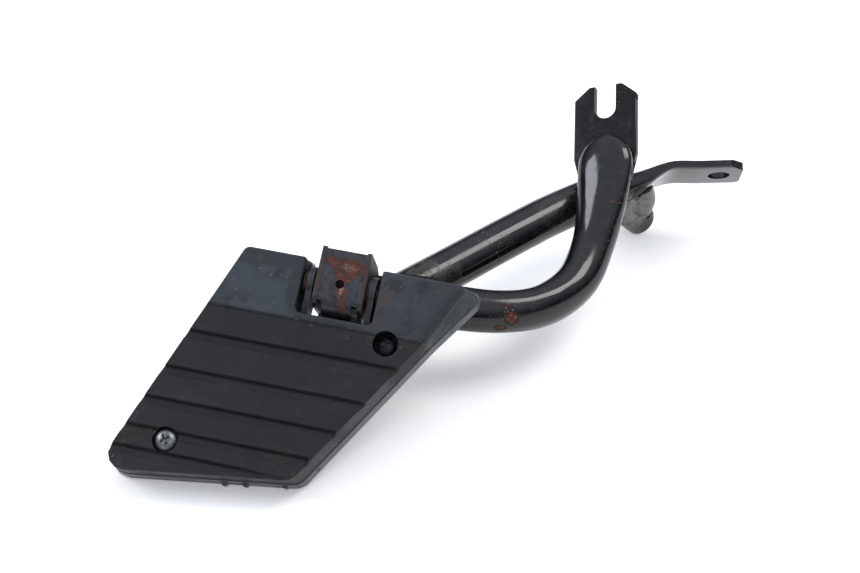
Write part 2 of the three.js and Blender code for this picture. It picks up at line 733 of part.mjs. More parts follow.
const weldNut = ({ x, y }) => {
  const z1 = PLATE_TOP - PLATE_T - GAP;
  const across = NUT_AF / Math.cos(Math.PI / 6);
  return cut(rodZ(across, x, y, z1 - NUT_T, z1, 6), rodZ(SCREW_D + 2 * GAP, x, y, -20, 2));
};

// ---- assembly --------------------------------------------------------------------------------
const part = new THREE.Group();
part.name = "folding_footboard";
const lying = new THREE.Group();
lying.rotation.set(deg(REST.pitch), deg(REST.roll), deg(REST.yaw), "XYZ");
lying.position.copy(REST_PIN);
part.add(lying);

function piece(name, shape, colour, roughness, metalness) {
  const material = new THREE.MeshStandardMaterial({ color: colour, roughness, metalness });
  material.name = name;
  const mesh = new THREE.Mesh(geometryOf(shape), material);
  mesh.name = name;
  lying.add(mesh);
}

piece("front_tube", frontTube, 0x141516, 0.25, 0.2);
piece("rear_tube", rearTube, 0x141516, 0.25, 0.2);
piece("fork_plate", forkPlate, 0x17181a, 0.3, 0.2);
piece("gusset_plate", gusset, 0x141516, 0.3, 0.2);
piece("lug_strut", lugStrut, 0x1b1b1c, 0.3, 0.2);
piece("lug_boss", lugBoss, 0x242424, 0.25, 0.3);
piece("hinge_bracket", hingeBracket, 0x2b2724, 0.5, 0.5);
piece("pivot_pin", pivotPin, 0x5a5048, 0.5, 0.8);
piece("pin_clip", pinClip, 0x3a3431, 0.5, 0.8);
piece("pivot_sleeve", pivotSleeve, 0x54412f, 0.6, 0.7);
piece("thrust_washer_left", thrust(-EAR_IN + GAP, -BRACKET_HALF - GAP), 0x4d3a2c, 0.6, 0.6);
piece("thrust_washer_right", thrust(BRACKET_HALF + GAP, EAR_IN - GAP), 0x4d3a2c, 0.6, 0.6);
piece("core_plate", corePlate, 0x26241f, 0.5, 0.5);
piece("tread_cover", treadCover, 0x2b2c2e, 0.7, 0);
piece("base_tray", baseTray, 0x2f3032, 0.75, 0);
piece("cover_screw_outer", screw(SCREW_OUTER), 0x6f7173, 0.45, 0.9);
piece("cover_screw_inner", screw(SCREW_INNER), 0x1a1a1b, 0.35, 0.6);
piece("screw_washer_outer", screwWasher(SCREW_OUTER), 0x2a2a2b, 0.5, 0.6);
piece("screw_washer_inner", screwWasher(SCREW_INNER), 0x2a2a2b, 0.5, 0.6);
piece("weld_nut_outer", weldNut(SCREW_OUTER), 0x77756f, 0.5, 0.9);
piece("weld_nut_inner", weldNut(SCREW_INNER), 0x77756f, 0.5, 0.9);

export default part;
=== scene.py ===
"""Looks, light and camera for a folding passenger footboard on its welded tube bracket.

Places are given in the riding frame, in millimetres: origin at the middle of the pivot pin, +X along
the pin, +Y towards the vehicle, +Z out of the tread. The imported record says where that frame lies.
"""

import json
import logging
import math
from abc import ABC, abstractmethod
from dataclasses import dataclass, replace
from enum import Enum

import bmesh
import bpy
from mathutils import Euler, Matrix, Vector
from mathutils.bvhtree import BVHTree


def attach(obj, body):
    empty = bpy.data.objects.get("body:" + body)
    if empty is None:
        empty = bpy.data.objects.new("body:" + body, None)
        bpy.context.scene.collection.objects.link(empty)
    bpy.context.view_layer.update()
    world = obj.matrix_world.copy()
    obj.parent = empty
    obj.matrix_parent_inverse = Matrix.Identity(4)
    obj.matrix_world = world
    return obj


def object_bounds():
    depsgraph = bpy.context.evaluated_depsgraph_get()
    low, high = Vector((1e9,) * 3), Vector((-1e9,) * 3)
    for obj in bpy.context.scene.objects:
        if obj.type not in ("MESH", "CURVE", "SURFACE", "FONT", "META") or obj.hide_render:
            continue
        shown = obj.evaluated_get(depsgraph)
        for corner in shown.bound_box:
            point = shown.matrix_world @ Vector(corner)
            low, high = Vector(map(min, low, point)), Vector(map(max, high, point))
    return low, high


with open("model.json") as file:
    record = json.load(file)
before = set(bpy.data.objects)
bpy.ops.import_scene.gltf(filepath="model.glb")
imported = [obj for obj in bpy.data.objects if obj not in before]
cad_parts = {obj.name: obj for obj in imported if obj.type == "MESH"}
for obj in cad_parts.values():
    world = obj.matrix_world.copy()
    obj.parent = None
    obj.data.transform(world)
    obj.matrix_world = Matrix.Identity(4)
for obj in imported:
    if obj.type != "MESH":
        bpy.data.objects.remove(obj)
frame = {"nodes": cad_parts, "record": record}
CAD_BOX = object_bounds()

LOG = logging.getLogger("footboard")
MM = 0.001
MERGE_M = 1e-5
COLOUR_A, COLOUR_B, COLOUR_OUT = 6, 7, 2
# Distance, in half sizes plus raggedness, where a patch starts and where it is full.
PATCH_EDGE, PATCH_FULL, PATCH_RAGGED = 1.68, 1.46, 1.3

Tree = bpy.types.NodeTree
Socket = bpy.types.NodeSocket
Triple = tuple[float, float, float]


class Body(Enum):
    """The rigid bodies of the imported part."""

    BRACKET = "bracket"
    FOOTBOARD = "footboard"


class Slot(Enum):
    """The record's material slots."""

    PAINT = "gloss_paint"


@dataclass(frozen=True)
class RidingFrame:
    """The frame the part was designed in, placed in the row frame."""

    origin: Vector
    x: Vector
    y: Vector
    z: Vector

    @classmethod
    def from_record(cls, record: dict, fork_yaw_deg: float = 22.0) -> "RidingFrame":
        """Finds the frame from the hinge and the fork plate's face.

        Args:
            record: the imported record.
            fork_yaw_deg: how far the fork plate's face leans from +Z towards -X.

        Returns:
            The riding frame.
        """
        joint = record["behaviour"]["joints"][0]
        x = -Vector(joint["axis"]).normalized()
        fork = next(m for m in record["mounts"] if m["name"] == "fork_seat")
        lean = math.radians(fork_yaw_deg)
        z = (Vector(fork["axis"]) + x * math.sin(lean)).normalized()
        y = z.cross(x).normalized()
        return cls(Vector(joint["pos_m"]), x, y, x.cross(y))

    def turn(self) -> Euler:
        """Rotation that takes riding directions to row-frame directions."""
        return Matrix((self.x, self.y, self.z)).transposed().to_euler("XYZ")


RIDING = RidingFrame.from_record(frame["record"])


def linear(hex_colour: str) -> tuple[float, float, float, float]:
    """Turns an sRGB hex colour such as "#20242a" into linear RGBA."""
    parts = [int(hex_colour[i : i + 2], 16) / 255 for i in (1, 3, 5)]
    return tuple(c / 12.92 if c <= 0.04045 else ((c + 0.055) / 1.055) ** 2.4 for c in parts) + (1.0,)


def add(
    tree: Tree, kind: str, inputs: dict | None = None, output: int | str = 0, **settings: object
) -> Socket:
    """Adds a shader node with its settings, input values and links.

    Args:
        tree: the node tree.
        kind: the node type without its "ShaderNode" prefix.
        inputs: socket name or number to a value, or to a socket to link from.
        output: the output socket to hand back.
        **settings: node properties.

    Returns:
        The chosen output socket.
    """
    node = tree.nodes.new("ShaderNode" + kind)
    for name, value in settings.items():
        setattr(node, name, value)
    for key, value in (inputs or {}).items():
        if isinstance(value, Socket):
            tree.links.new(value, node.inputs[key])
        else:
            node.inputs[key].default_value = value
    return node.outputs[output]


def both(tree: Tree, one: Socket, other: Socket | float) -> Socket:
    """Where two masks overlap, or one mask weakened by a share."""
    return add(tree, "Math", {0: one, 1: other}, operation="MULTIPLY")


def blend(tree: Tree, low: float, high: float, mask: Socket) -> Socket:
    """Number that goes from low to high as a mask goes from 0 to 1."""
    return add(tree, "MapRange", {"Value": mask, "To Min": low, "To Max": high})


def most(tree: Tree, *masks: Socket) -> Socket:
    """The strongest of several masks."""
    total = masks[0]
    for mask in masks[1:]:
        total = add(tree, "Math", {0: total, 1: mask}, operation="MAXIMUM")
    return total


def over(tree: Tree, below: Socket | tuple, above: str, mask: Socket, amount: float = 1.0) -> Socket:
    """Lays a colour over another where a mask says.

    Args:
        tree: the node tree.
        below: the colour underneath.
        above: sRGB hex of the layer on top.
        mask: where the layer lies, 0 to 1.
        amount: the layer's greatest cover.

    Returns:
        The layered colour.
    """
    inputs = {0: both(tree, mask, amount), COLOUR_A: below, COLOUR_B: linear(above)}
    return add(tree, "Mix", inputs, COLOUR_OUT, data_type="RGBA")


def clouds(
    tree: Tree, place: Socket, size_mm: float, low: float, high: float, detail: float = 4.0
) -> Socket:
    """Soft cloudy mask.

    Args:
        tree: the node tree.
        place: riding place in millimetres.
        size_mm: typical cloud size.
        low: noise value where the mask starts.
        high: noise value where the mask is full.
        detail: octaves of finer noise.

    Returns:
        A mask from 0 to 1.
    """
    inputs = {"Vector": place, "Scale": 1 / size_mm, "Detail": detail, "Roughness": 0.6}
    noise = add(tree, "TexNoise", inputs)
    return add(
        tree,
        "MapRange",
        {"Value": noise, "From Min": low, "From Max": high},
        interpolation_type="SMOOTHSTEP",
    )


def specks(
    tree: Tree, place: Socket, spacing_mm: float, size_mm: float, where: Socket | float
) -> Socket:
    """Scattered small grains, as dust or paint chips make them.

    Args:
        tree: the node tree.
        place: riding place in millimetres.
        spacing_mm: distance between grains.
        size_mm: a grain's size.
        where: mask of the places where grains lie.

    Returns:
        A mask from 0 to 1.
    """
    wobble = add(tree, "TexNoise", {"Vector": place, "Scale": 1.1 / size_mm, "Detail": 2.0}, "Color")
    pushed = add(tree, "VectorMath", {0: wobble, 1: (size_mm,) * 3, 2: place}, operation="MULTIPLY_ADD")
    near = add(tree, "TexVoronoi", {"Vector": pushed, "Scale": 1 / spacing_mm, "Randomness": 1.0})
    edge = size_mm / spacing_mm / 2
    mask = add(
        tree,
        "MapRange",
        {"Value": near, "From Min": edge, "From Max": edge * 0.6},
        interpolation_type="SMOOTHSTEP",
    )
    return both(tree, mask, where)


def scratches(tree: Tree, place: Socket, angle_deg: float, spacing_mm: float, thin: float) -> Socket:
    """Long thin scratches in one direction of the tread's plane.

    Args:
        tree: the node tree.
        place: riding place in millimetres.
        angle_deg: direction from +X towards +Y.
        spacing_mm: typical distance between scratches.
        thin: 0 to 1, higher leaves fewer and thinner ones.

    Returns:
        A mask from 0 to 1.
    """
    turned = add(
        tree,
        "Mapping",
        {"Vector": place, "Rotation": (0, 0, math.radians(-angle_deg)), "Scale": (0.035, 1, 0.4)},
    )
    inputs = {"Vector": turned, "Scale": 1 / spacing_mm, "Detail": 3.0, "Distortion": 0.25}
    noise = add(tree, "TexNoise", inputs)
    middle = add(tree, "Math", {0: noise, 1: 0.5}, operation="SUBTRACT")
    away = add(tree, "Math", {0: middle}, operation="ABSOLUTE")
    return add(
        tree,
        "MapRange",
        {"Value": away, "From Min": 0.03 * (1 - thin), "From Max": 0.0},
        interpolation_type="SMOOTHSTEP",
    )


@dataclass(frozen=True)
class Spot:
    """A rusty or dirty place: centre and half sizes in riding millimetres, and its cover."""

    at: Triple
    size: Triple
    cover: float = 1.0


def patches(tree: Tree, place: Socket, spots: tuple[Spot, ...], ragged_mm: float) -> Socket:
    """Ragged patches at given places.

    Args:
        tree: the node tree.
        place: riding place in millimetres.
        spots: the patches.
        ragged_mm: size of the raggedness of their edges.

    Returns:
        A mask from 0 to 1.
    """
    inputs = {"Vector": place, "Scale": 1 / ragged_mm, "Detail": 5.0, "Roughness": 0.68}
    grain = add(tree, "TexNoise", inputs)
    masks = []
    for spot in spots:
        shifted = add(tree, "VectorMath", {0: place, 1: spot.at}, operation="SUBTRACT")
        scaled = add(tree, "VectorMath", {0: shifted, 1: spot.size}, operation="DIVIDE")
        away = add(tree, "VectorMath", {0: scaled}, "Value", operation="LENGTH")
        uneven = add(tree, "Math", {0: grain, 1: PATCH_RAGGED, 2: away}, operation="MULTIPLY_ADD")
        edge = {"Value": uneven, "From Min": PATCH_EDGE, "From Max": PATCH_FULL, "To Max": spot.cover}
        masks.append(add(tree, "MapRange", edge, interpolation_type="SMOOTHSTEP"))
    return most(tree, *masks)


def worn_edges(tree: Tree, radius_mm: float, start: float = 0.995, full: float = 0.9) -> Socket:
    """Mask of the edges, where hands and shoes rub.

    Args:
        tree: the node tree.
        radius_mm: how far from an edge the wear reaches.
        start: likeness of the rounded and the true normal where wear starts.
        full: likeness where wear is full.

    Returns:
        A mask from 0 to 1.
    """
    rounded = add(tree, "Bevel", {"Radius": radius_mm * MM}, samples=6)
    true = add(tree, "NewGeometry", {}, "Normal")
    alike = add(tree, "VectorMath", {0: rounded, 1: true}, "Value", operation="DOT_PRODUCT")
    return add(tree, "MapRange", {"Value": alike, "From Min": start, "From Max": full})


def painted_crevice_shade(tree: Tree, reach_mm: float, start: float, full: float) -> Socket:
    """Mask of the inner corners and grooves, where painted shade darkens the colour.

    Args:
        tree: the node tree.
        reach_mm: how wide a groove still counts.
        start: openness where the painted shade starts.
        full: openness where the painted shade is full.

    Returns:
        A mask from 0 to 1.
    """
    openness = add(tree, "AmbientOcclusion", {"Distance": reach_mm * MM}, "AO", samples=8)
    return add(
        tree,
        "MapRange",
        {"Value": openness, "From Min": start, "From Max": full},
        interpolation_type="SMOOTHSTEP",
    )


@dataclass(frozen=True)
class Surface:
    """What a finish gives its shader: sockets, or None where the shader's own value stays."""

    colour: Socket
    roughness: Socket | None = None
    metallic: Socket | None = None
    height: Socket | None = None
    height_mm: float = 0.05


@dataclass(frozen=True)
class Finish(ABC):
    """A real surface: what it is made of and how it was made."""

    name: str
    roughness: float = 0.5
    metallic: float = 0.0

    @abstractmethod
    def layers(self, tree: Tree, place: Socket) -> Surface:
        """Lays the finish's layers.

        Args:
            tree: the node tree.
            place: riding place in millimetres.

        Returns:
            The sockets for the shader.
        """

    def build(self) -> bpy.types.Material:
        """Makes the material once; later calls hand back the same one."""
        known = bpy.data.materials.get(self.name)
        if known:
            return known
        material = bpy.data.materials.new(self.name)
        material.use_nodes = True
        tree = material.node_tree
        tree.nodes.clear()
        coordinates = add(tree, "TexCoord", {}, "Object")
        place = add(
            tree,
            "Mapping",
            {
                "Vector": coordinates,
                "Location": RIDING.origin,
                "Rotation": RIDING.turn(),
                "Scale": (MM, MM, MM),
            },
            vector_type="TEXTURE",
        )
        surface = self.layers(tree, place)
        inputs: dict = {
            "Base Color": surface.colour,
            "Roughness": self.roughness if surface.roughness is None else surface.roughness,
            "Metallic": self.metallic if surface.metallic is None else surface.metallic,
        }
        if surface.height is not None:
            bump = {"Height": surface.height, "Distance": surface.height_mm * MM, "Strength": 1.0}
            inputs["Normal"] = add(tree, "Bump", bump)
        shader = add(tree, "BsdfPrincipled", inputs)
        self.trim(shader.node)
        end = tree.nodes.new("ShaderNodeOutputMaterial")
        tree.links.new(shader, end.inputs["Surface"])
        return material

    def trim(self, shader: bpy.types.ShaderNode) -> None:
        """Sets the shader's own uniform values; most finishes keep the defaults."""


@dataclass(frozen=True)
class BakedEnamel(Finish):
    """Gloss black baked enamel on steel tube: deep wet reflections, orange peel, chips that rust."""

    roughness: float = 0.1
    gloss: float = 0.5
    enamel: str = "#060607"
    dulled: str = "#111112"
    dust: str = "#3d3932"
    rim: str = "#170d09"
    rust: str = "#42200f"
    rust_light: str = "#6d3c28"
    bare: str = "#8c8279"
    peel_mm: float = 2.6
    chip_mm: float = 1.3
    bruise: float = 1.35
    spots: tuple[Spot, ...] = ()
    chipped: tuple[Spot, ...] = ()
    dusty: tuple[Spot, ...] = ()

    def layers(self, tree: Tree, place: Socket) -> Surface:
        """Enamel, dulled clouds, dust, scratches, chips and rust."""
        haze = clouds(tree, place, 28, 0.45, 0.75)
        dirt = clouds(tree, place, 7, 0.5, 0.8, 6)
        colour = over(tree, linear(self.enamel), self.dulled, haze, 0.6)
        colour = over(tree, colour, self.dust, dirt, 0.16)
        film = both(tree, patches(tree, place, self.dusty, 12.0), clouds(tree, place, 4, 0.3, 0.62, 6))
        colour = over(tree, colour, self.dust, film, 0.55)
        lines = scratches(tree, place, 35, 4.5, 0.72)
        colour = over(tree, colour, self.dust, lines, 0.35)
        struck = patches(tree, place, self.chipped, 5.0)
        anywhere = add(tree, "Math", {0: struck, 1: 0.12}, operation="MAXIMUM")
        gathered = both(tree, anywhere, clouds(tree, place, 12, 0.48, 0.56, 2))
        wide_chips = specks(tree, place, 3.4, self.chip_mm, gathered)
        near_chips = specks(tree, place, 2.1, self.chip_mm * 0.8, struck)
        chips = most(tree, wide_chips, near_chips)
        rust = patches(tree, place, self.spots, 2.4)
        mottle = clouds(tree, place, 1.7, 0.4, 0.62, 5)
        around = tuple(Spot(s.at, tuple(self.bruise * v for v in s.size)) for s in self.spots)
        bruise = patches(tree, place, around, 2.0)
        colour = over(tree, colour, self.rim, bruise, 0.85)
        colour = over(tree, colour, self.rust, rust)
        colour = over(tree, colour, self.rust_light, both(tree, rust, mottle), 0.75)
        colour = over(tree, colour, self.rust_light, chips, 0.55)
        fresh = both(tree, chips, clouds(tree, place, 9, 0.55, 0.6, 1))
        colour = over(tree, colour, self.bare, fresh, 0.7)
        dull = blend(tree, self.roughness, self.roughness + 0.17, most(tree, haze, dirt))
        rough = most(tree, dull, both(tree, film, 0.42), rust, chips, bruise)
        orange_peel = {"Vector": place, "Scale": 1 / self.peel_mm, "Detail": 2.0, "Roughness": 0.4}
        peel = add(tree, "TexNoise", orange_peel)
        scab = both(tree, most(tree, rust, chips), mottle)
        raised = add(tree, "Math", {0: scab, 1: 5.0, 2: peel}, operation="MULTIPLY_ADD")
        height = add(tree, "Math", {0: chips, 1: -4.5, 2: raised}, operation="MULTIPLY_ADD")
        capped = add(tree, "Math", {0: rough, 1: 0.82}, operation="MINIMUM")
        return Surface(colour, capped, None, height, 0.014)

    def trim(self, shader: bpy.types.ShaderNode) -> None:
        """Enamel is a cured resin, a little below the default index, and weaker where it's thin."""
        shader.inputs["IOR"].default_value = 1.47
        shader.inputs["Specular IOR Level"].default_value = self.gloss


@dataclass(frozen=True)
class PhosphatedSteel(Finish):
    """Pressed steel with an old slate-grey phosphate coat: satin metal, worn rims, red rust."""

    roughness: float = 0.42
    coat: str = "#36373b"
    shade: str = "#201f21"
    rim: str = "#5c5a57"
    rust_dark: str = "#2f1a13"
    rust: str = "#3e1a11"
    rust_light: str = "#65301f"
    pit_mm: float = 0.9
    streak: str = "#8a7462"
    grit: str = "#b7b2a8"
    spots: tuple[Spot, ...] = ()
    stains: tuple[Spot, ...] = ()
    rubbed: tuple[Spot, ...] = ()

    def layers(self, tree: Tree, place: Socket) -> Surface:
        """Phosphate, dark clouds, bright rims, rust bloom and patches, grit."""
        shade = clouds(tree, place, 6, 0.42, 0.68, 6)
        colour = over(tree, linear(self.coat), self.shade, shade, 0.8)
        rims = worn_edges(tree, 0.7)
        colour = over(tree, colour, self.rim, rims, 0.45)
        bloom = clouds(tree, place, 3.2, 0.56, 0.72, 6)
        colour = over(tree, colour, self.rust_dark, bloom, 0.4)
        stain = patches(tree, place, self.stains, 3.0)
        colour = over(tree, colour, self.rust_dark, stain, 0.8)
        eaten_through = clouds(tree, place, 2.6, 0.36, 0.5, 6)
        whole = patches(tree, place, self.spots, 3.0)
        rust = both(tree, whole, eaten_through)
        mottle = clouds(tree, place, 1.5, 0.44, 0.64, 5)
        colour = over(tree, colour, self.rust_dark, whole, 0.7)
        colour = over(tree, colour, self.rust, rust, 0.95)
        light = both(tree, rust, mottle)
        colour = over(tree, colour, self.rust_light, light, 0.65)
        bare = both(tree, patches(tree, place, self.rubbed, 2.2), clouds(tree, place, 1.8, 0.4, 0.6, 5))
        colour = over(tree, colour, self.streak, bare, 0.6)
        grit = specks(tree, place, 4.6, 0.45, 1.0)
        colour = over(tree, colour, self.grit, grit, 0.8)
        eaten = most(tree, rust, grit, stain)
        rough = blend(tree, self.roughness, 0.85, most(tree, eaten, bloom))
        metal = blend(tree, 0.55, 0.0, eaten)
        pitted = {"Vector": place, "Scale": 1 / self.pit_mm, "Detail": 6.0, "Roughness": 0.7}
        pits = add(tree, "TexNoise", pitted)
        height = add(tree, "Math", {0: light, 1: 1.6, 2: pits}, operation="MULTIPLY_ADD")
        return Surface(colour, rough, metal, height, 0.07)


@dataclass(frozen=True)
class RustedSteel(Finish):
    """Turned bare steel left in the weather: dark iron with an orange-brown skin of rust."""

    roughness: float = 0.4
    steel: str = "#47433f"
    brown: str = "#301e16"
    orange: str = "#5f3722"
    grease: str = "#15120f"
    pit_mm: float = 0.7

    def layers(self, tree: Tree, place: Socket) -> Surface:
        """Steel, brown rust, orange bloom, black grease."""
        brown = clouds(tree, place, 3, 0.34, 0.56, 6)
        orange = clouds(tree, place, 1.6, 0.5, 0.66, 6)
        grease = clouds(tree, place, 5, 0.52, 0.64, 3)
        colour = over(tree, linear(self.steel), self.brown, brown)
        colour = over(tree, colour, self.orange, orange, 0.7)
        colour = over(tree, colour, self.grease, grease, 0.85)
        rough = blend(tree, self.roughness, 0.85, most(tree, brown, orange))
        metal = blend(tree, 0.85, 0.1, most(tree, brown, grease))
        pitted = {"Vector": place, "Scale": 1 / self.pit_mm, "Detail": 6.0, "Roughness": 0.7}
        pits = add(tree, "TexNoise", pitted)
        return Surface(colour, rough, metal, pits, 0.05)


@dataclass(frozen=True)
class PlatedFastener(Finish):
    """Pan-head screw or nut: thin plating, dull where the driver and the road have rubbed it."""

    roughness: float = 0.38
    plating: str = "#77787a"
    worn: str = "#7e7c78"
    grime: str = "#16140f"
    # Pale specks: scuffs and painted glints.
    glint_and_scuff: str = "#a19e98"
    shine: float = 0.85
    dent_mm: float = 0.55

    def layers(self, tree: Tree, place: Socket) -> Surface:
        """Plating, rubbed edges, grime, and bright specks that are scuffs and painted glints."""
        grime = clouds(tree, place, 2.4, 0.46, 0.62, 6)
        rims = worn_edges(tree, 0.4)
        # Small pale specks: scuffs, and painted glints of light.
        scuffs = clouds(tree, place, 0.8, 0.56, 0.62, 4)
        colour = over(tree, linear(self.plating), self.worn, rims, 0.7)
        colour = over(tree, colour, self.grime, grime, 0.75)
        colour = over(tree, colour, self.glint_and_scuff, scuffs, 0.4)
        rough = blend(tree, self.roughness, 0.75, grime)
        metal = blend(tree, self.shine, 0.25, grime)
        dented = {"Vector": place, "Scale": 1 / self.dent_mm, "Detail": 5.0, "Roughness": 0.65}
        dents = add(tree, "TexNoise", dented)
        return Surface(colour, rough, metal, dents, 0.06)


@dataclass(frozen=True)
class MouldedTread(Finish):
    """Injection-moulded polypropylene-rubber: charcoal, satin, with scuffs, dust and rubbed ribs."""

    roughness: float = 0.43
    sheen: float = 0.3
    ribs: str = "#101010"
    # The smooth zone's paler blue-grey is partly its own tone and partly a painted reflection of the
    # bluish sky.
    smooth: str = "#2f353b"
    rubbed: str = "#25272a"
    faded: str = "#1f1f1f"
    # Colour of the random darker mottling and of the painted shade near the notch and rolled edges.
    dark: str = "#090a0c"
    # Near-black painted shade for the grooves and inner corners.
    grime: str = "#030304"
    dust: str = "#4c4538"
    ochre: str = "#7d6b4b"
    scuff: str = "#3d3c3a"
    rust: str = "#472817"
    step_y: float = -22.5
    # The moulded grain is finer than this: it is drawn as coarse as it needs to show.
    grain_mm: float = 0.8
    sink_mm: float = 22.0
    sink_depth: float = 7.0
    rust_spots: tuple[Spot, ...] = ()
    dusty: tuple[Spot, ...] = ()
    # Places of painted shade, near the notch and along the cover's rolled edges.
    shaded: tuple[Spot, ...] = ()

    def layers(self, tree: Tree, place: Socket) -> Surface:
        """Two moulded zones (the smooth one's paler tone partly a painted sky reflection), fading, rub
        marks, painted shade near the notch and in the grooves, scratches, dust and rust stains.
        """
        along = add(tree, "SeparateXYZ", {0: place}, "Y")
        step = {"Value": along, "From Min": self.step_y - 2, "From Max": self.step_y + 2}
        flat = add(tree, "MapRange", step, interpolation_type="SMOOTHSTEP")
        # The smooth zone gets the paler blue-grey colour, partly a painted sky reflection.
        colour = over(tree, linear(self.ribs), self.smooth, flat)
        fade = clouds(tree, place, 34, 0.42, 0.66, 5)
        colour = over(tree, colour, self.faded, fade, 0.38)
        stretched = add(tree, "Mapping", {"Vector": place, "Scale": (0.22, 1.0, 1.0)})
        rub = clouds(tree, stretched, 9, 0.48, 0.72, 5)
        colour = over(tree, colour, self.rubbed, rub, 0.3)
        # Random darker mottling, plus painted shade laid as patches near the notch and along the rolled
        # edges.
        shade = clouds(tree, place, 13, 0.52, 0.72, 3)
        shade = most(tree, shade, patches(tree, place, self.shaded, 24.0))
        colour = over(tree, colour, self.dark, shade, 0.6)
        # Painted shade: grooves and inner corners, which see little open air, are darkened nearly to
        # black.
        grime = painted_crevice_shade(tree, 6.0, 0.92, 0.6)
        colour = over(tree, colour, self.grime, grime, 0.9)
        edges = worn_edges(tree, 0.8)
        colour = over(tree, colour, self.scuff, edges, 0.3)
        fine = scratches(tree, place, 62, 3.0, 0.8)
        cross = scratches(tree, place, -28, 5.0, 0.86)
        gate = clouds(tree, place, 17, 0.5, 0.6, 2)
        lines = both(tree, most(tree, fine, cross), gate)
        colour = over(tree, colour, self.scuff, lines, 0.35)
        film = clouds(tree, place, 5, 0.5, 0.78, 7)
        zone = patches(tree, place, self.dusty, 9.0)
        veil = both(tree, film, zone)
        colour = over(tree, colour, self.dust, veil, 0.45)
        gate_dust = add(tree, "Math", {0: zone, 1: 0.22}, operation="MAXIMUM")
        cluster = clouds(tree, place, 6, 0.46, 0.6, 3)
        gathered = both(tree, gate_dust, cluster)
        grains = specks(tree, place, 2.2, 0.7, gathered)
        crumbs = specks(tree, place, 9.0, 1.4, zone)
        colour = over(tree, colour, self.ochre, most(tree, grains, crumbs), 0.6)
        stain = patches(tree, place, self.rust_spots, 3.5)
        stained = both(tree, stain, clouds(tree, place, 2.2, 0.38, 0.62, 5))
        colour = over(tree, colour, self.rust, stained, 0.7)
        rough = blend(tree, self.roughness, self.roughness + 0.22, most(tree, fade, veil, edges, grime))
        grain = add(tree, "TexNoise", {"Vector": place, "Scale": 1 / self.grain_mm, "Detail": 3.0})
        waves = add(tree, "TexNoise", {"Vector": place, "Scale": 1 / self.sink_mm, "Detail": 2.0})
        soft = add(tree, "Math", {0: waves, 1: self.sink_depth, 2: grain}, operation="MULTIPLY_ADD")
        height = add(tree, "Math", {0: lines, 1: -0.8, 2: soft}, operation="MULTIPLY_ADD")
        return Surface(colour, rough, None, height, 0.035)

    def trim(self, shader: bpy.types.ShaderNode) -> None:
        """Weathered rubber blend gives back less light than fresh plastic."""
        shader.inputs["Specular IOR Level"].default_value = self.sheen


@dataclass(frozen=True)
class MouldedTray(Finish):
    """Moulded polypropylene tray: dark grey, polished by the mould, scuffed along its lower rim."""

    roughness: float = 0.3
    base: str = "#313335"
    pale: str = "#5c5e60"
    dark: str = "#151617"
    dust: str = "#6c6558"
    # Coarser than the real grain, so that it shows.
    grain_mm: float = 1.2

    def layers(self, tree: Tree, place: Socket) -> Surface:
        """Plastic, pale abrasion, dark smears and dust."""
        pale = clouds(tree, place, 10, 0.42, 0.7, 6)
        dark = clouds(tree, place, 16, 0.55, 0.68, 4)
        dust = specks(tree, place, 3.2, 0.6, 0.5)
        colour = over(tree, linear(self.base), self.pale, pale, 0.5)
        colour = over(tree, colour, self.dark, dark, 0.7)
        colour = over(tree, colour, self.pale, worn_edges(tree, 0.6), 0.35)
        colour = over(tree, colour, self.dust, dust, 0.6)
        rough = blend(tree, self.roughness, 0.55, pale)
        grain = add(tree, "TexNoise", {"Vector": place, "Scale": 1 / self.grain_mm, "Detail": 4.0})
        return Surface(colour, rough, None, grain, 0.03)


@dataclass(frozen=True)
class LacqueredTable(Finish):
    """Plain white lacquered board: bright, even, with a soft gloss."""

    roughness: float = 0.38
    white: str = "#f4f3f1"
    warm: str = "#efeeea"
    glow: float = 0.25

    def layers(self, tree: Tree, place: Socket) -> Surface:
        """White lacquer with a barely warmer cloud."""
        colour = over(tree, linear(self.white), self.warm, clouds(tree, place, 160, 0.4, 0.7, 3), 0.5)
        return Surface(colour)

    def trim(self, shader: bpy.types.ShaderNode) -> None:
        """A faint glow stands for the light that a wide white table throws back."""
        shader.inputs["Emission Color"].default_value = linear(self.white)
        shader.inputs["Emission Strength"].default_value = self.glow


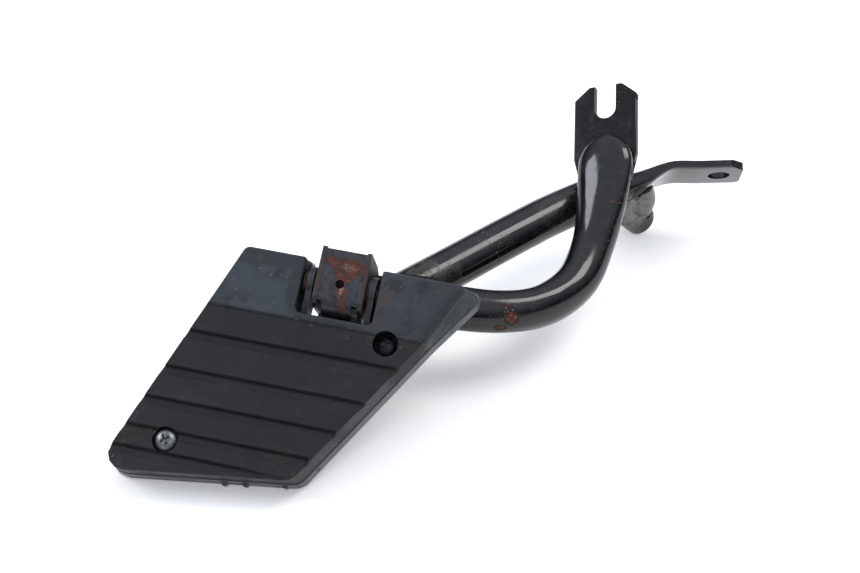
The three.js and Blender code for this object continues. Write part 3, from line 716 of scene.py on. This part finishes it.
ENAMEL = BakedEnamel(
    "baked_enamel",
    spots=(
        Spot((91.6, 8.6, -34.3), (3.4, 3.6, 4.5)),
        Spot((86.2, 3.0, -38.1), (3.6, 1.5, 3.0), 0.5),
        Spot((87.5, 15.0, -31.4), (4.0, 0.9, 2.0), 0.3),
        Spot((151.0, 117.0, -100.8), (5.0, 4.0, 5.0), 0.4),
        Spot((138.9, 168.4, -71.3), (1.5, 2.2, 3.0), 0.75),
        Spot((40.0, 20.0, -28.0), (5.0, 4.0, 5.0), 0.5),
        Spot((30.0, -4.0, -42.0), (11.0, 6.0, 5.0), 0.7),
        Spot((60.0, 55.0, -74.0), (8.0, 7.0, 5.0), 0.7),
        Spot((105.0, 60.0, -84.0), (6.0, 9.0, 6.0), 0.6),
    ),
    chipped=(
        Spot((136.0, 96.8, -60.5), (6.0, 8.0, 6.0)),
        Spot((137.0, 78.0, -62.5), (4.0, 15.0, 6.0), 0.9),
        Spot((88.0, 9.0, -35.0), (14.0, 9.0, 8.0), 0.8),
        Spot((140.0, 55.0, -66.0), (6.0, 12.0, 8.0), 0.8),
        Spot((125.4, 166.0, -76.0), (14.0, 12.0, 8.0), 0.5),
        Spot((70.0, 58.0, -58.0), (16.0, 12.0, 8.0), 0.6),
    ),
    dusty=(
        Spot((46.0, 22.0, -42.0), (22.0, 16.0, 18.0)),
        Spot((30.0, 5.0, -30.0), (26.0, 14.0, 16.0), 0.9),
        Spot((205.0, 145.0, -104.0), (14.0, 10.0, 12.0), 0.5),
        Spot((105.0, 92.0, -80.0), (20.0, 18.0, 16.0), 0.5),
    ),
)
# The same enamel, thinner on flat plate: it mirrors less of the room, so the plate looks darker.
PLATE_ENAMEL = replace(ENAMEL, name="thin_enamel_on_plate", roughness=0.16, gloss=0.24)
# Enamel that the road has dulled: grey and soft, with hardly a highlight.
DUSTY_ENAMEL = BakedEnamel(
    "road_dulled_enamel",
    0.3,
    enamel="#343433",
    dulled="#6b6966",
    dust="#8a867e",
    spots=(Spot((152.0, 113.0, -104.0), (5.0, 4.0, 6.0), 0.6),),
    chipped=(Spot((150.0, 110.0, -120.0), (12.0, 12.0, 12.0), 0.6),),
    dusty=(Spot((150.0, 115.0, -125.0), (20.0, 20.0, 20.0)),),
)
PHOSPHATE = PhosphatedSteel(
    "phosphated_steel",
    spots=(
        Spot((3.0, 9.6, 12.5), (10.4, 5.4, 3.0)),
        Spot((-5.5, 11.6, 12.5), (7.0, 2.8, 3.0)),
        Spot((1.4, 4.4, 12.5), (5.4, 3.8, 3.0)),
        Spot((1.6, -5.0, 12.0), (3.6, 4.6, 4.0)),
        Spot((3.0, -11.5, 10.5), (2.6, 6.0, 5.0)),
        Spot((15.0, -6.0, 6.0), (2.0, 8.0, 6.0), 0.7),
    ),
    rubbed=(
        Spot((1.2, -3.5, 12.0), (1.3, 3.4, 3.0)),
        Spot((2.0, -15.0, 4.0), (8.0, 2.6, 3.5), 0.8),
        Spot((3.0, 9.8, 12.5), (5.4, 2.0, 3.0), 0.5),
    ),
    stains=(
        Spot((13.0, 4.0, 12.0), (1.4, 14.0, 3.0), 0.9),
        Spot((-12.6, 2.0, 12.0), (1.6, 14.0, 3.0), 0.6),
        Spot((0.0, -2.0, -24.0), (16.0, 16.0, 8.0), 0.7),
    ),
)
RUSTED = RustedSteel("rusted_bare_steel")
ZINC_SCREW = PlatedFastener("zinc_plated_screw")
# Black oxide: nearly as dark as the well it sits in, grey where the driver has rubbed, with pale specks
# that are partly painted glints.
BLACK_SCREW = PlatedFastener(
    "black_oxide_screw",
    0.3,
    plating="#17181a",
    worn="#3a3a3b",
    grime="#0c0c0c",
    glint_and_scuff="#6a6a6a",
    shine=0.5,
)
TREAD = MouldedTread(
    "moulded_tread",
    rust_spots=(
        Spot((24.9, -2.1, 10.0), (3.6, 5.0, 3.0)),
        Spot((22.5, -12.0, 9.0), (2.0, 7.0, 4.0), 0.6),
    ),
    # Painted shade below and left of the notch, and in long strips along the cover.
    shaded=(
        Spot((2.0, -31.0, 9.0), (30.0, 12.0, 14.0), 1.0),
        Spot((-20.0, -2.0, 10.0), (9.0, 22.0, 14.0), 0.8),
        Spot((-58.0, 8.0, 10.0), (40.0, 6.0, 14.0), 0.7),
        Spot((-20.0, -88.0, 9.0), (60.0, 16.0, 14.0), 0.5),
    ),
    dusty=(
        Spot((50.0, 2.0, 9.0), (34.0, 18.0, 12.0)),
        Spot((20.0, -22.0, 9.0), (50.0, 7.0, 12.0), 0.8),
        Spot((-42.0, -4.0, 10.0), (26.0, 20.0, 12.0), 0.7),
        Spot((-96.0, -104.0, 9.0), (20.0, 20.0, 14.0), 0.7),
        Spot((-6.0, -103.0, 9.0), (16.0, 10.0, 14.0), 0.7),
    ),
)
TRAY = MouldedTray("moulded_tray")
TABLE = LacqueredTable("lacquered_table")


def soften(node: bpy.types.Object, width_mm: float, sharp_deg: float = 32.0) -> None:
    """Gives a CAD node small rounded edges and smooth curved faces, by modifiers only.

    Args:
        node: the CAD node's object.
        width_mm: width of the rounding; 0 leaves the edges sharp.
        sharp_deg: edges that turn more than this stay visible.
    """
    mesh = node.data
    if "custom_normal" in mesh.attributes:
        mesh.attributes.remove(mesh.attributes["custom_normal"])
    mesh.shade_smooth()
    weld = node.modifiers.new("weld", "WELD")
    weld.merge_threshold = MERGE_M
    if width_mm > 0:
        bevel = node.modifiers.new("moulded_edge", "BEVEL")
        bevel.width = width_mm * MM
        bevel.segments = 2
        bevel.limit_method = "ANGLE"
        bevel.angle_limit = math.radians(sharp_deg)
        bevel.use_clamp_overlap = True
        even = node.modifiers.new("even_shading", "WEIGHTED_NORMAL")
        even.keep_sharp = True
    else:
        split = node.modifiers.new("sharp_edges", "EDGE_SPLIT")
        split.split_angle = math.radians(sharp_deg)


def new_object(name: str, shape: bmesh.types.BMesh) -> bpy.types.Object:
    """Turns a mesh under construction into a smooth shaded object.

    Args:
        name: the piece's name.
        shape: the mesh, freed here.

    Returns:
        The new object.
    """
    mesh = bpy.data.meshes.new(name)
    bmesh.ops.recalc_face_normals(shape, faces=shape.faces)
    shape.to_mesh(mesh)
    shape.free()
    mesh.shade_smooth()
    made = bpy.data.objects.new(name, mesh)
    bpy.context.scene.collection.objects.link(made)
    return made


def welded_copy(node: str) -> bmesh.types.BMesh:
    """A CAD node's mesh with its split vertices merged."""
    shape = bmesh.new()
    shape.from_mesh(frame["nodes"][node].data)
    bmesh.ops.remove_doubles(shape, verts=shape.verts, dist=MERGE_M)
    return shape


@dataclass(frozen=True)
class Seam:
    """The line where one CAD node meets another, as a closed or open row of points."""

    points: tuple[Vector, ...]
    closed: bool

    @classmethod
    def between(cls, node: str, other: str, reach_mm: float = 0.75, sharp_deg: float = 22.0) -> "Seam":
        """Finds the longest sharp line of a node that lies against another.

        Args:
            node: the node whose edge is followed.
            other: the node that it stands against.
            reach_mm: how close the edge lies to the other node.
            sharp_deg: least turn of an edge that counts.

        Returns:
            The seam.
        """
        shape, target = welded_copy(node), welded_copy(other)
        near = BVHTree.FromBMesh(target)
        close = {}
        for vertex in shape.verts:
            hit = near.find_nearest(vertex.co, reach_mm * MM)
            close[vertex.index] = hit[0] is not None
        links: dict[int, list[int]] = {}
        for edge in shape.edges:
            a, b = edge.verts[0].index, edge.verts[1].index
            if len(edge.link_faces) != 2 or not (close[a] and close[b]):
                continue
            if edge.calc_face_angle(0.0) > math.radians(sharp_deg):
                links.setdefault(a, []).append(b)
                links.setdefault(b, []).append(a)
        shape.verts.ensure_lookup_table()
        best: list[int] = []
        best_length, best_closed = 0.0, False
        seen: set[int] = set()
        starts = sorted(links, key=lambda v: (len(links[v]) == 2, v))
        for start in starts:
            if start in seen:
                continue
            chain = [start]
            seen.add(start)
            while True:
                following = [v for v in links[chain[-1]] if v not in seen]
                if not following:
                    break
                chain.append(following[0])
                seen.add(following[0])
            places = [shape.verts[v].co for v in chain]
            length = sum((q - p).length for p, q in zip(places, places[1:]))
            if length > best_length:
                best, best_length = chain, length
                best_closed = len(chain) > 3 and chain[0] in links[chain[-1]]
        points = tuple(shape.verts[v].co.copy() for v in best)
        shape.free()
        target.free()
        return cls(points, best_closed)

    def spaced(self, step: float, rounds: int = 4) -> list[Vector]:
        """Evenly spaced, smoothed points along the seam.

        Args:
            step: spacing in metres.
            rounds: how often the row is smoothed.

        Returns:
            The points.
        """
        row = list(self.points) + ([self.points[0]] if self.closed else [])
        total = sum((b - a).length for a, b in zip(row, row[1:]))
        count = max(4, int(total / step))
        result, walked, target = [], 0.0, 0.0
        for a, b in zip(row, row[1:]):
            span = (b - a).length
            while span > 0 and target <= walked + span and len(result) < count:
                result.append(a.lerp(b, (target - walked) / span))
                target += total / count
            walked += span
        for _ in range(rounds):
            old = list(result)
            last = len(old) - 1
            for i, here in enumerate(old):
                if self.closed or 0 < i < last:
                    result[i] = (old[i - 1] + here * 2 + old[(i + 1) % len(old)]) / 4
        return result


@dataclass(frozen=True)
class WeldBead:
    """A hand-laid weld with overlapping ripples along a seam.

    The radius goes from valley to valley plus crest in each ripple, with slow sways of a size, a
    rate per millimetre and a start, and shrinks to the end's share where the bead starts and stops.
    """

    name: str
    seam: Seam
    radius_mm: float = 1.9
    ripple_mm: float = 2.4
    step_mm: float = 0.5
    around: int = 12
    valley: float = 0.86
    crest: float = 0.16
    sways: tuple[Triple, ...] = ((0.06, 0.9, 0.0), (0.05, 2.3, 1.0))
    end: float = 0.25
    end_growth: float = 0.28

    def build(self) -> bpy.types.Object | None:
        """Builds the bead's mesh, or nothing where the seam is too short.

        Returns:
            The bead, or None.
        """
        if len(self.seam.points) < 3:
            LOG.warning("%s: no seam found", self.name)
            return None
        path = self.seam.spaced(self.step_mm * MM)
        shape = bmesh.new()
        rings = []
        side = None
        count = len(path)
        for i, here in enumerate(path):
            if self.seam.closed:
                along = (path[(i + 1) % count] - path[i - 1]).normalized()
            else:
                along = (path[min(i + 1, count - 1)] - path[max(i - 1, 0)]).normalized()
            side = along.orthogonal() if side is None else side - along * side.dot(along)
            side.normalize()
            other = along.cross(side)
            walked = i * self.step_mm
            ripple = abs(math.sin(math.pi * walked / self.ripple_mm))
            sway = sum(size * math.sin(walked * rate + start) for size, rate, start in self.sways)
            radius = self.radius_mm * MM * (self.valley + self.crest * ripple + sway)
            if not self.seam.closed:
                radius *= min(1.0, self.end + min(i, count - 1 - i) * self.end_growth)
            rings.append(
                [
                    shape.verts.new(
                        here
                        + side * (radius * math.cos(2 * math.pi * k / self.around))
                        + other * (radius * math.sin(2 * math.pi * k / self.around))
                    )
                    for k in range(self.around)
                ]
            )
        pairs = list(zip(rings, rings[1:]))
        if self.seam.closed:
            turns = [rings[0][k:] + rings[0][:k] for k in range(self.around)]
            twist = [sum((a.co - b.co).length for a, b in zip(rings[-1], ring)) for ring in turns]
            pairs.append((rings[-1], turns[twist.index(min(twist))]))
        for first, second in pairs:
            for k in range(self.around):
                n = (k + 1) % self.around
                shape.faces.new((first[k], first[n], second[n], second[k]))
        if not self.seam.closed:
            shape.faces.new(list(reversed(rings[0])))
            shape.faces.new(rings[-1])
        return new_object(self.name, shape)


class SubAssembly(ABC):
    """A group of pieces that moves with one body."""

    body: Body

    def dress(
        self, finish: Finish, nodes: tuple[str, ...], width_mm: float, sharp_deg: float = 32.0
    ) -> None:
        """Gives CAD nodes their finish and softened edges.

        Args:
            finish: the finish.
            nodes: names of the CAD nodes.
            width_mm: rounding of their edges.
            sharp_deg: least turn of an edge that stays visible.
        """
        material = finish.build()
        for name in nodes:
            node = frame["nodes"][name]
            node.data.materials.clear()
            node.data.materials.append(material)
            soften(node, width_mm, sharp_deg)
            LOG.info("%s: %s", name, finish.name)

    def fit(self, piece: bpy.types.Object | None, finish: Finish, slot: Slot) -> None:
        """Puts a new piece on this body with its finish.

        Args:
            piece: the new piece, or None.
            finish: its finish.
            slot: the record's slot; not used.
        """
        if piece is None:
            return
        piece.data.materials.append(finish.build())
        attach(piece, self.body.value)
        LOG.info("%s: new piece, %s", piece.name, finish.name)

    @abstractmethod
    def build(self) -> None:
        """Makes and dresses the pieces."""


@dataclass
class TubeBracket(SubAssembly):
    """Welded tubes, fork plate, gusset and lug."""

    body: Body = Body.BRACKET
    plate_edge_mm: float = 0.45
    tab_edge_mm: float = 0.8
    tube_sharp_deg: float = 38.0
    bead_mm: float = 1.9

    def build(self) -> None:
        """Dresses the tubes and lays the welds."""
        self.dress(ENAMEL, ("front_tube",), 0.0, self.tube_sharp_deg)
        self.dress(ENAMEL, ("rear_tube",), self.tab_edge_mm, self.tube_sharp_deg)
        self.dress(PLATE_ENAMEL, ("fork_plate", "gusset_plate"), self.plate_edge_mm)
        self.dress(DUSTY_ENAMEL, ("lug_strut", "lug_boss"), self.plate_edge_mm)
        welds = (
            ("weld_tubes", "rear_tube", "front_tube", self.bead_mm),
            ("weld_fork", "front_tube", "fork_plate", self.bead_mm * 0.6),
            ("weld_strut", "lug_strut", "rear_tube", self.bead_mm * 0.8),
            ("weld_boss", "lug_strut", "lug_boss", self.bead_mm * 0.7),
            ("weld_gusset_front", "gusset_plate", "front_tube", self.bead_mm * 0.8),
            ("weld_saddle", "hinge_bracket", "front_tube", self.bead_mm),
        )
        for name, node, other, radius in welds:
            self.fit(WeldBead(name, Seam.between(node, other), radius).build(), ENAMEL, Slot.PAINT)


@dataclass
class HingeJoint(SubAssembly):
    """Pressed bracket with its pin, clip, sleeve and washers."""

    body: Body = Body.BRACKET
    press_edge_mm: float = 0.4
    turned_edge_mm: float = 0.2

    def build(self) -> None:
        """Dresses the hinge."""
        self.dress(PHOSPHATE, ("hinge_bracket",), self.press_edge_mm)
        self.dress(
            RUSTED,
            ("pivot_pin", "pin_clip", "pivot_sleeve", "thrust_washer_left", "thrust_washer_right"),
            self.turned_edge_mm,
        )


@dataclass
class Footboard(SubAssembly):
    """Core plate, tread cover, tray and their screws."""

    body: Body = Body.FOOTBOARD
    tread_edge_mm: float = 0.45
    tray_edge_mm: float = 0.3
    groove_sharp_deg: float = 24.0
    metal_edge_mm: float = 0.2

    def build(self) -> None:
        """Dresses the board."""
        self.dress(TREAD, ("tread_cover",), self.tread_edge_mm, self.groove_sharp_deg)
        self.dress(TRAY, ("base_tray",), self.tray_edge_mm)
        self.dress(PHOSPHATE, ("core_plate",), self.metal_edge_mm)
        plated = ("cover_screw_outer", "weld_nut_outer", "weld_nut_inner")
        self.dress(ZINC_SCREW, plated, self.metal_edge_mm)
        blackened = ("cover_screw_inner", "screw_washer_outer", "screw_washer_inner")
        self.dress(BLACK_SCREW, blackened, self.metal_edge_mm)


@dataclass(frozen=True)
class Softbox:
    """A soft rectangular light that looks at the object."""

    name: str
    at: Triple
    size: tuple[float, float]
    watts: float
    tint: str = "#ffffff"

    def build(self, target: Vector) -> None:
        """Hangs the light, turned to the target.

        Args:
            target: the place that it looks at.
        """
        data = bpy.data.lights.new(self.name, "AREA")
        data.shape = "RECTANGLE"
        data.size, data.size_y = self.size
        data.energy = self.watts
        data.color = linear(self.tint)[:3]
        light = bpy.data.objects.new(self.name, data)
        light.location = self.at
        light.rotation_euler = (target - Vector(self.at)).to_track_quat("-Z", "Y").to_euler()
        bpy.context.scene.collection.objects.link(light)


@dataclass
class Studio:
    """Pale table, soft lights and the camera.

    The air's strength is sky_low up to the direction height low_z and sky_high from high_z on, and
    horizon below haze_z.
    """

    table_half: float = 6.0
    sky: str = "#e9effc"
    sky_low: float = 0.14
    sky_high: float = 1.25
    horizon: float = 0.9
    low_z: float = 0.1
    high_z: float = 0.85
    haze_z: float = 0.06
    camera_from_centre: Triple = (-0.01144, -0.62923, 0.59154)
    camera_elevation_deg: float = 41.0
    lens_mm: float = 60.0
    sensor_mm: float = 36.0
    softboxes: tuple[Softbox, ...] = (
        Softbox("window_left", (-1.36, 0.06, 1.02), (0.82, 0.7), 14.0, "#f4f8ff"),
        Softbox("softbox_right", (0.8, 0.3, 1.23), (0.55, 0.8), 10.0, "#fffcf8"),
    )

    def build(self) -> None:
        """Makes the table, the sky, the lights and the camera."""
        centre = (CAD_BOX[0] + CAD_BOX[1]) / 2
        self.lay_table(centre)
        world = bpy.data.worlds.new("studio_air")
        world.use_nodes = True
        self.light_air(world.node_tree)
        bpy.context.scene.world = world
        for softbox in self.softboxes:
            softbox.build(centre)
        self.place_camera(centre)
        bpy.context.scene.view_settings.view_transform = "Standard"

    def light_air(self, tree: Tree) -> None:
        """Makes the room bright overhead, dim lower down and pale behind the table's edge.

        Args:
            tree: the world's node tree.
        """
        direction = add(tree, "TexCoord", {}, "Generated")
        parts = add(tree, "SeparateXYZ", {0: direction}, "Z")
        strength = add(
            tree,
            "MapRange",
            {
                "Value": parts,
                "From Min": self.low_z,
                "From Max": self.high_z,
                "To Min": self.sky_low,
                "To Max": self.sky_high,
            },
            interpolation_type="SMOOTHSTEP",
        )
        haze = {
            "Value": parts,
            "From Min": self.haze_z,
            "From Max": self.haze_z / 2,
            "To Max": self.horizon,
        }
        pale = add(tree, "MapRange", haze, interpolation_type="SMOOTHSTEP")
        strength = add(tree, "Math", {0: strength, 1: pale}, operation="MAXIMUM")
        air = tree.nodes["Background"]
        air.inputs["Color"].default_value = linear(self.sky)
        tree.links.new(strength, air.inputs["Strength"])

    def lay_table(self, centre: Vector) -> None:
        """Lays the table just under the part.

        Args:
            centre: middle of the part's box.
        """
        shape = bmesh.new()
        half = self.table_half
        corners = [(-half, -half), (half, -half), (half, half), (-half, half)]
        floor_z = CAD_BOX[0].z
        shape.faces.new([shape.verts.new((centre.x + x, centre.y + y, floor_z)) for x, y in corners])
        table = new_object("table_top", shape)
        table.data.materials.append(TABLE.build())

    def place_camera(self, centre: Vector) -> None:
        """Places the camera above the front of the board.

        Args:
            centre: middle of the part's box.
        """
        data = bpy.data.cameras.new("camera")
        data.lens, data.sensor_width = self.lens_mm, self.sensor_mm
        data.dof.use_dof = False
        camera = bpy.data.objects.new("camera", data)
        floor = Vector((centre.x, centre.y, CAD_BOX[0].z))
        camera.location = floor + Vector(self.camera_from_centre)
        camera.rotation_euler = Euler((math.radians(90 - self.camera_elevation_deg), 0, 0))
        bpy.context.scene.collection.objects.link(camera)
        bpy.context.scene.camera = camera


def main() -> None:
    """Builds the studio and the sub-assemblies in order."""
    logging.basicConfig(level=logging.INFO, format="%(name)s %(message)s")
    Studio().build()
    for group in (TubeBracket(), HingeJoint(), Footboard()):
        group.build()


if __name__ == "__main__":
    main()
